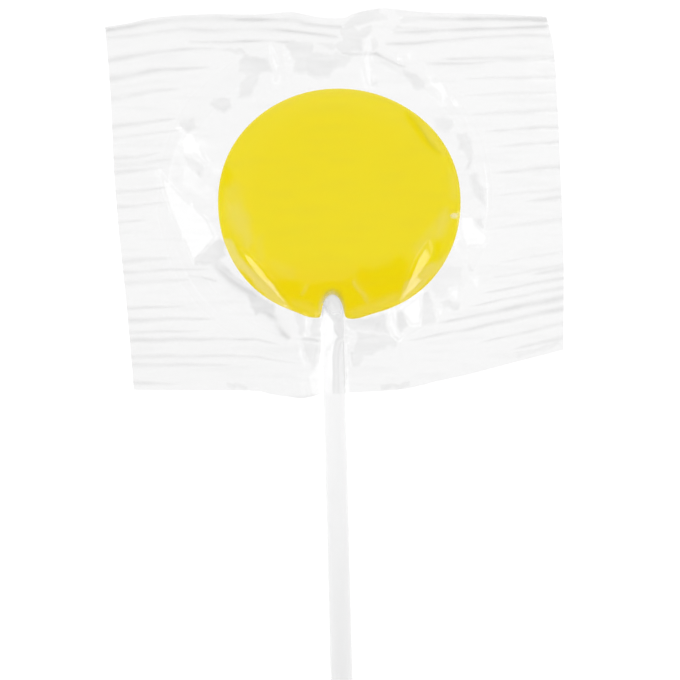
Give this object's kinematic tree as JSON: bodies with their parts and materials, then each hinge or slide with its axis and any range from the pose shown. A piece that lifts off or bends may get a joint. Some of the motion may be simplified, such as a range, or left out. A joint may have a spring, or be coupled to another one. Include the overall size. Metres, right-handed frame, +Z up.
{
  "type": "fruit lollipop",
  "caption": "Flat oval yellow fruit lollipop on a plain white stick, sealed in a square of clear crinkled film and lying on its back.",
  "frame": {"origin": "on the surface it lies on, under the middle of the candy disc", "axes": "+Z up out of the shown face, +Y from the stick towards the candy's top, +X to the right as the shown face is seen"},
  "size_m": [0.0758, 0.1121, 0.0097],
  "materials": {
    "candy": "glossy",
    "stick": "satin",
    "film": "glossy"
  },
  "bodies": {
    "root": {"candy": "candy", "stick": "stick", "wrapper": "film"}
  },
  "joints": []
}
